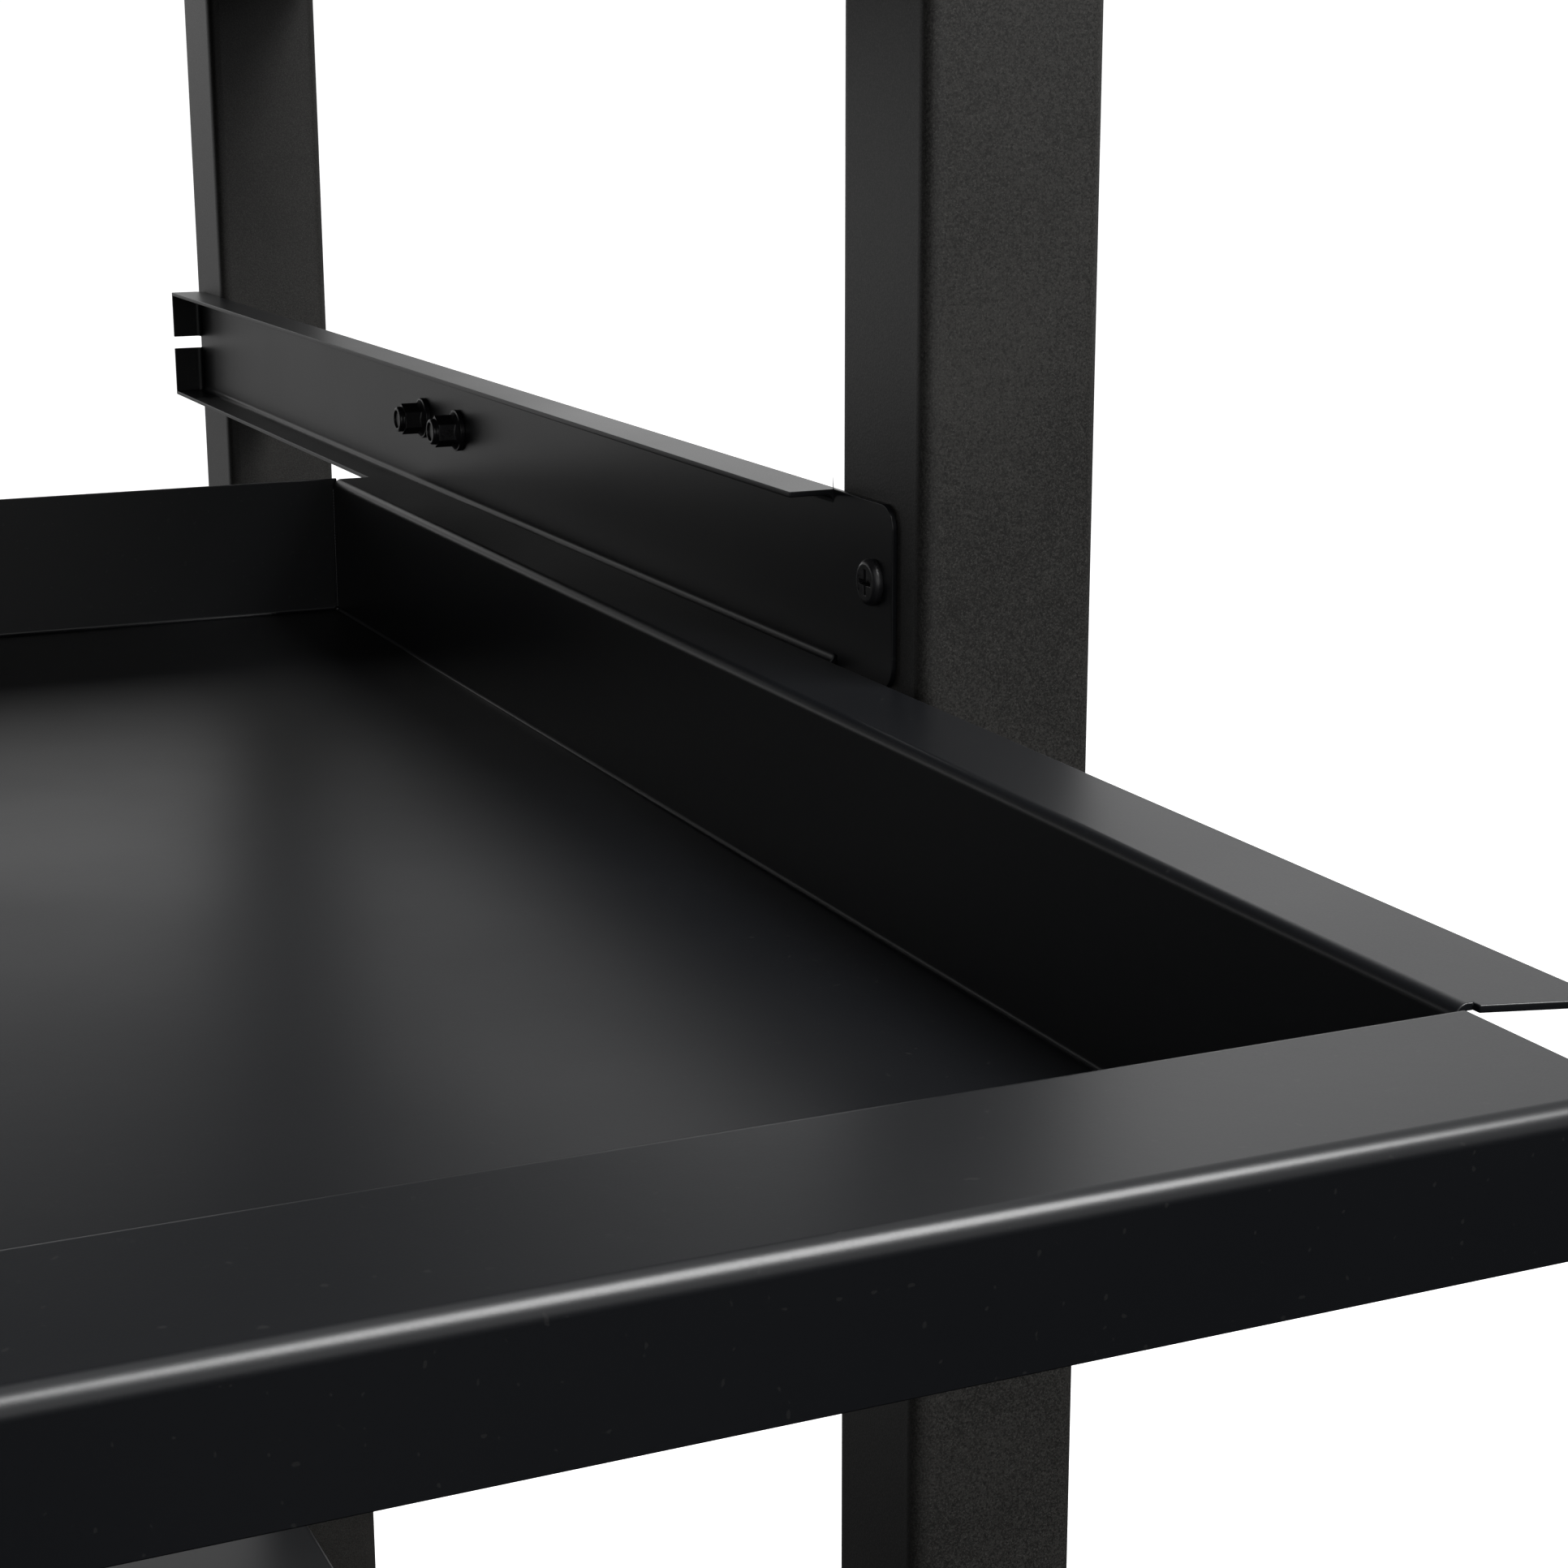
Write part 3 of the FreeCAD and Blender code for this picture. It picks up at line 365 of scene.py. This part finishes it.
def lay_bead(shape, start, end, radius, ripple):
    """Adds one weld bead between two points: a round bar with ripples and rounded ends."""
    start, end = Vector(start), Vector(end)
    length = (end - start).length
    along = (end - start).normalized()
    across = along.orthogonal().normalized()
    up = along.cross(across)
    steps = max(FEWEST_STEPS, round(length / ripple * STEPS_PER_RIPPLE))
    rings = []
    for step in range(steps + 1):
        place = length * step / steps
        ending = min(1.0, min(place, length - place) / radius)
        size = radius * max(BEAD_TIP, math.sqrt(1 - (1 - ending) ** 2))
        size *= 1 + RIPPLE_SWELL * math.cos(math.tau * place / ripple)
        middle = start + along * place
        rings.append([shape.verts.new(middle + size * (math.cos(turn) * across + math.sin(turn) * up))
                      for turn in (math.tau * side / BEAD_SIDES for side in range(BEAD_SIDES))])
    for low_ring, high_ring in zip(rings, rings[1:]):
        for side in range(BEAD_SIDES):
            after = (side + 1) % BEAD_SIDES
            shape.faces.new((low_ring[side], low_ring[after], high_ring[after], high_ring[side]))
    shape.faces.new(reversed(rings[0]))
    shape.faces.new(rings[-1])


def weld_frame():
    """Seams where the rails meet the legs: under and beside the top rails, round the side rails."""
    shape = bmesh.new()
    under, top = top_rail_low.z, top_rail_high.z
    low, high = side_rail_low.z, side_rail_high.z
    for side in (LEFT, RIGHT):
        inner, outer = side * leg_low.x, side * leg_high.x
        rail_outer = side * side_rail_high.x
        inset, sunk = side * SEAM_INSET, side * SEAM_SUNK
        for face, back in ((leg_high.y, leg_low.y), (rear_leg_low.y, rear_leg_high.y)):
            into = math.copysign(SEAM_INSET, face - back)
            near_back = back + into / 3
            beads = (
                # the top rail across the desk: its underside and its outward face
                ((inner, face - into, under), (inner, back + into, under)),
                ((inner + sunk, near_back, under), (inner + sunk, near_back, top)),
                # the top rail along the side: its underside, its inner face and its outer face
                ((inner + inset, face, under), (outer - inset, face, under)),
                ((inner, face, under + SEAM_INSET), (inner, face, top - SEAM_INSET)),
                ((outer - sunk, face, under), (outer - sunk, face, top)),
                # the side rail: its outer face, its underside and its top
                ((rail_outer, face, low + SEAM_INSET), (rail_outer, face, high - SEAM_INSET)),
                ((inner + inset, face, low), (rail_outer - inset, face, low)),
                ((inner + inset, face, high), (rail_outer - inset, face, high)),
            )
            for start, end in beads:
                lay_bead(shape, start, end, FRAME_BEAD, FRAME_RIPPLE)
    new_piece("frame_weld_seams", shape, FRAME_SLOT, "frame", smooth_angle=BEAD_SMOOTH_ANGLE)


def weld_tray():
    """A thin seam up each inside corner of the tray, starting from a small blob."""
    shape = bmesh.new()
    for side in (LEFT, RIGHT):
        for y in PAN_ENDS:
            foot = Vector((side * PAN_SIDE, y, PAN_FLOOR))
            head = Vector((side * PAN_SIDE, y, PAN_TOP))
            lay_bead(shape, foot, head, TRAY_BEAD, TRAY_RIPPLE)
            bmesh.ops.create_icosphere(shape, subdivisions=2, radius=TRAY_BLOB,
                                       matrix=Matrix.Translation(foot))
    new_piece("tray_weld_seams", shape, SHEET_SLOT, "tray", smooth_angle=BEAD_SMOOTH_ANGLE)


weld_frame()
weld_tray()


# ---------------------------------------------------------------- camera, floor and light
# Where the camera stands, from the front right leg's inner front edge and the tray's top.
CAMERA_INSIDE_LEG = 264.18 * MM
CAMERA_BEFORE_LEG = 515.49 * MM
CAMERA_OVER_TRAY = 126.74 * MM
CAMERA_TURN = math.radians(24.362)
CAMERA_DOWN = math.radians(14.160)
CAMERA_ROLL = math.radians(-0.135)
LENS = 67.39
SENSOR = 36.0
NEAREST = 0.01

FLOOR_HALF = 20.0
FLOOR_GREY = (0.88, 0.88, 0.88, 1.0)
FLOOR_ROUGHNESS = 0.9
FLOOR_GLOW = 0.9
WHITE = (1.0, 1.0, 1.0, 1.0)


def add_camera():
    """The camera: left of the right legs, in front of them and a little above the tray."""
    camera = bpy.data.objects.new("camera", bpy.data.cameras.new("camera"))
    bpy.context.scene.collection.objects.link(camera)
    camera.data.lens = LENS
    camera.data.sensor_width = SENSOR
    camera.data.clip_start = NEAREST
    turn = Matrix.Rotation(-CAMERA_TURN, 4, "Z")
    tilt = Matrix.Rotation(math.pi / 2 - CAMERA_DOWN, 4, "X")
    roll = Matrix.Rotation(CAMERA_ROLL, 4, "Z")
    stand = Vector((leg_low.x - CAMERA_INSIDE_LEG, leg_low.y - CAMERA_BEFORE_LEG,
                    tray_high.z + CAMERA_OVER_TRAY))
    camera.matrix_world = Matrix.Translation(stand) @ turn @ tilt @ roll
    bpy.context.scene.camera = camera


def add_floor():
    """A plain white floor that glows a little. The steel doesn't reflect it."""
    shape = bmesh.new()
    bmesh.ops.create_grid(shape, x_segments=1, y_segments=1, size=FLOOR_HALF)
    mesh = bpy.data.meshes.new("floor")
    shape.to_mesh(mesh)
    shape.free()
    floor = bpy.data.objects.new("floor", mesh)
    bpy.context.scene.collection.objects.link(floor)
    finish = bpy.data.materials.new("floor")
    finish.use_nodes = True
    shader = finish.node_tree.nodes["Principled BSDF"]
    shader.inputs["Base Color"].default_value = FLOOR_GREY
    shader.inputs["Roughness"].default_value = FLOOR_ROUGHNESS
    shader.inputs["Specular IOR Level"].default_value = 0.0
    shader.inputs["Emission Color"].default_value = WHITE
    shader.inputs["Emission Strength"].default_value = FLOOR_GLOW
    mesh.materials.append(finish)
    floor.visible_glossy = False
    floor.visible_diffuse = False
    floor.visible_shadow = False


# Light in the world: each panel is (azimuth from, to, elevation from, to, softness, strength),
# in degrees. Azimuth 0 is +Y and grows to the right. The list began as a fit to the photograph's
# brightness, made by a scratch script, and was rounded and changed by hand since.
PANELS = [
    (-13, 36, 8, 34, 4, 0.8),       # rear wall
    (36, 50, 8, 34, 4, 0.65),
    (19, 50, 3, 8, 2, 1.35),        # its lower edge
    (-20, 12, -2, 8, 4, 0.9),
    (-26, 50, -35, -3, 4, 0.27),    # low rear
    (-60, -26, -14, 20, 4, 0.62),   # rear left
    (-40, -13, 20, 34, 4, 0.45),
    (24, 75, 34, 54, 4, 0.55),      # high right
    (-45, 45, 54, 95, 5, 0.85),     # overhead, rear half
    (45, 135, 54, 95, 5, 0.55),     # overhead, right side
    (185, 232, -3, 22, 5, 0.8),     # front left
    (185, 215, 22, 45, 5, 0.6),
    (155, 185, 2, 20, 4, 1.0),      # front
    (130, 155, 2, 20, 4, 0.5),
    (135, 185, 20, 45, 5, 0.6),
    (-145, -60, 15, 54, 5, 0.3),    # left side
    (62, 118, -6, 24, 8, 0.35),     # right side
]
AMBIENT = 0.01
SURROUND = 1.05

# The lamp over the front of the tray, turned to a point on the tray's front edge.
SOFTBOX_CENTRE = Vector((0.95, -1.2, 2.3))
SOFTBOX_TARGET = Vector((0.25, tray_low.y, tray_high.z))
SOFTBOX_SIZE = (1.2, 0.9)
SOFTBOX_WATTS = 56


def add_world():
    """A white surround for the eye, and soft studio panels for everything else."""
    world = bpy.data.worlds.new("studio")
    bpy.context.scene.world = world
    world.use_nodes = True
    tree = world.node_tree
    tree.nodes.clear()

    def calc(operation, *given):
        """One Math node."""
        return add_node(tree, "ShaderNodeMath", {"operation": operation}, enumerate(given)).outputs[0]

    def step(source, angle, soft, before, after):
        """A soft step from one value to another at an angle."""
        return add_node(tree, "ShaderNodeMapRange", {"interpolation_type": "SMOOTHSTEP"},
                        [(0, source), (1, angle - soft), (2, angle + soft), (3, before), (4, after)]
                        ).outputs[0]

    def window(source, low, high, soft):
        """1 between two angles and 0 outside, with soft edges."""
        return calc("MULTIPLY", step(source, low, soft, 0.0, 1.0), step(source, high, soft, 1.0, 0.0))

    def background(strength):
        """White light of some strength."""
        return add_node(tree, "ShaderNodeBackground", inputs=[("Color", WHITE), ("Strength", strength)])

    direction = add_node(tree, "ShaderNodeTexCoord").outputs["Generated"]
    east, north, height = add_node(tree, "ShaderNodeSeparateXYZ", inputs=[(0, direction)]).outputs
    elevation = calc("DEGREES", calc("ARCSINE", height))
    total = None
    for left, right, low, high, soft, strength in PANELS:
        middle, half = math.radians((left + right) / 2), (right - left) / 2
        across = calc("SUBTRACT", calc("MULTIPLY", east, math.cos(middle)),
                      calc("MULTIPLY", north, math.sin(middle)))
        ahead = calc("ADD", calc("MULTIPLY", east, math.sin(middle)),
                     calc("MULTIPLY", north, math.cos(middle)))
        turned = calc("DEGREES", calc("ARCTAN2", across, ahead))
        panel = calc("MULTIPLY", window(turned, -half, half, soft), window(elevation, low, high, soft))
        light = calc("MULTIPLY", panel, strength)
        total = calc("ADD", total, light) if total else calc("ADD", light, AMBIENT)
    seen = add_node(tree, "ShaderNodeLightPath").outputs["Is Camera Ray"]
    mixed = add_node(tree, "ShaderNodeMixShader", inputs=[
        (0, seen), (1, background(total).outputs[0]), (2, background(SURROUND).outputs[0])])
    add_node(tree, "ShaderNodeOutputWorld", inputs=[("Surface", mixed.outputs[0])])


def add_softbox():
    """A soft rectangular light that the camera doesn't see."""
    data = bpy.data.lights.new("softbox", "AREA")
    data.shape = "RECTANGLE"
    data.size, data.size_y = SOFTBOX_SIZE
    data.energy = SOFTBOX_WATTS
    light = bpy.data.objects.new("softbox", data)
    bpy.context.scene.collection.objects.link(light)
    light.location = SOFTBOX_CENTRE
    light.rotation_euler = (SOFTBOX_TARGET - SOFTBOX_CENTRE).to_track_quat("-Z", "Y").to_euler()
    light.visible_camera = False


add_camera()
add_floor()
add_world()
add_softbox()
bpy.context.scene.view_settings.view_transform = "Standard"
